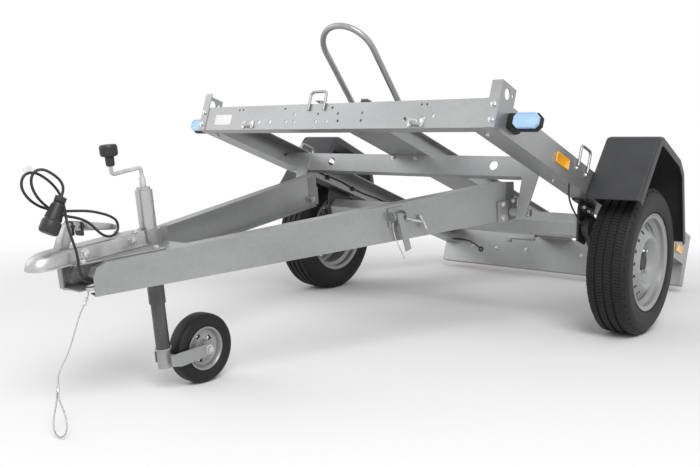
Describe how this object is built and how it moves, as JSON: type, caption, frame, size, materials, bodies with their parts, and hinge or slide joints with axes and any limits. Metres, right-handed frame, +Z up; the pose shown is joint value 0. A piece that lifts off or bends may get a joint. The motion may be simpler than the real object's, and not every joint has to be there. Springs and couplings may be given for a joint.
{
  "type": "motorcycle trailer",
  "caption": "Single-axle motorcycle trailer with a tilting flat bed, central wheel trough and front hoop, parked on its jockey wheel with the bed let down.",
  "frame": {"origin": "middle of the length and width, on the floor that the wheels stand on", "axes": "+X to the trailer's left side, +Y from the coupling towards the rear board, +Z up"},
  "size_m": [1.696, 3.0869, 1.1249],
  "materials": {
    "galvanised_steel": "hot-dip galvanised, dull and slightly mottled",
    "painted_axle_steel": "satin black",
    "mudguard_plastic": "grained black moulding",
    "tyre_rubber": "dull black rubber",
    "rim_paint": "silver paint",
    "hub_iron": "dark drum",
    "lamp_rubber": "dull black rubber",
    "clear_lens": "clear over a white reflector",
    "amber_reflector": "amber reflector",
    "lamp_housing": "black housing",
    "red_lens": "red lens",
    "zinc_bolt": "zinc-plated",
    "zinc_coupling": "zinc-plated pressing",
    "black_plastic": "black moulding",
    "jockey_rubber": "solid black rubber"
  },
  "bodies": {
    "bed": {"rail_left": "galvanised_steel", "rail_right": "galvanised_steel", "front_beam": "galvanised_steel", "cross_beam": "galvanised_steel", "hanger_left": "galvanised_steel", "hanger_right": "galvanised_steel", "wheel_trough": "galvanised_steel", "rear_board": "galvanised_steel", "wheel_hoop": "galvanised_steel", "tie_down_loops": "galvanised_steel", "axle_tube": "galvanised_steel", "axle_plates": "painted_axle_steel", "swing_arm_left": "galvanised_steel", "swing_arm_right": "galvanised_steel", "mudguard_left": "mudguard_plastic", "mudguard_right": "mudguard_plastic", "front_lamps": "lamp_rubber", "front_lenses": "clear_lens", "side_reflectors": "amber_reflector", "rear_lamps": "lamp_housing", "rear_lenses": "red_lens"},
    "wheel_left": {"tyre_left": "tyre_rubber", "rim_left": "rim_paint", "hub_left": "hub_iron"},
    "wheel_right": {"tyre_right": "tyre_rubber", "rim_right": "rim_paint", "hub_right": "hub_iron"},
    "drawbar": {"drawbar_beam_left": "galvanised_steel", "drawbar_beam_right": "galvanised_steel", "pivot_plates": "galvanised_steel", "pivot_bolts": "zinc_bolt", "nose_bracket": "galvanised_steel", "coupling_head": "zinc_coupling", "coupling_lever": "zinc_coupling", "jockey_clamp": "galvanised_steel", "jack_outer_tube": "galvanised_steel", "crank": "zinc_bolt", "crank_knob": "black_plastic", "bed_latch": "galvanised_steel"},
    "jockey_tube": {"jack_inner_tube": "zinc_bolt"},
    "jockey_fork": {"jockey_fork": "galvanised_steel"},
    "jockey_wheel": {"jockey_tyre": "jockey_rubber", "jockey_rim": "rim_paint"}
  },
  "joints": [
    {"name": "bed_tilt", "type": "hinge", "parent": "bed", "child": "drawbar", "pos_m": [0, 0.05015, 0.47303], "axis": [-1, 0, 0], "range_deg": [0, 25]},
    {"name": "wheel_left_spin", "type": "hinge", "parent": "bed", "child": "wheel_left", "pos_m": [0.748, 0.4964, 0.274], "axis": [1, 0, 0], "continuous": true},
    {"name": "wheel_right_spin", "type": "hinge", "parent": "bed", "child": "wheel_right", "pos_m": [-0.748, 0.4964, 0.274], "axis": [1, 0, 0], "continuous": true},
    {"name": "jockey_slide", "type": "slide", "parent": "drawbar", "child": "jockey_tube", "axis": [0, -0.1149, 0.9934], "range_m": [-0.1, 0.06]},
    {"name": "jockey_swivel", "type": "hinge", "parent": "jockey_tube", "child": "jockey_fork", "pos_m": [0, -1.12317, 0.10372], "axis": [0, -0.1149, 0.9934], "continuous": true},
    {"name": "jockey_spin", "type": "hinge", "parent": "jockey_fork", "child": "jockey_wheel", "pos_m": [0, -0.98452, 0.106], "axis": [1, 0, 0], "continuous": true}
  ]
}
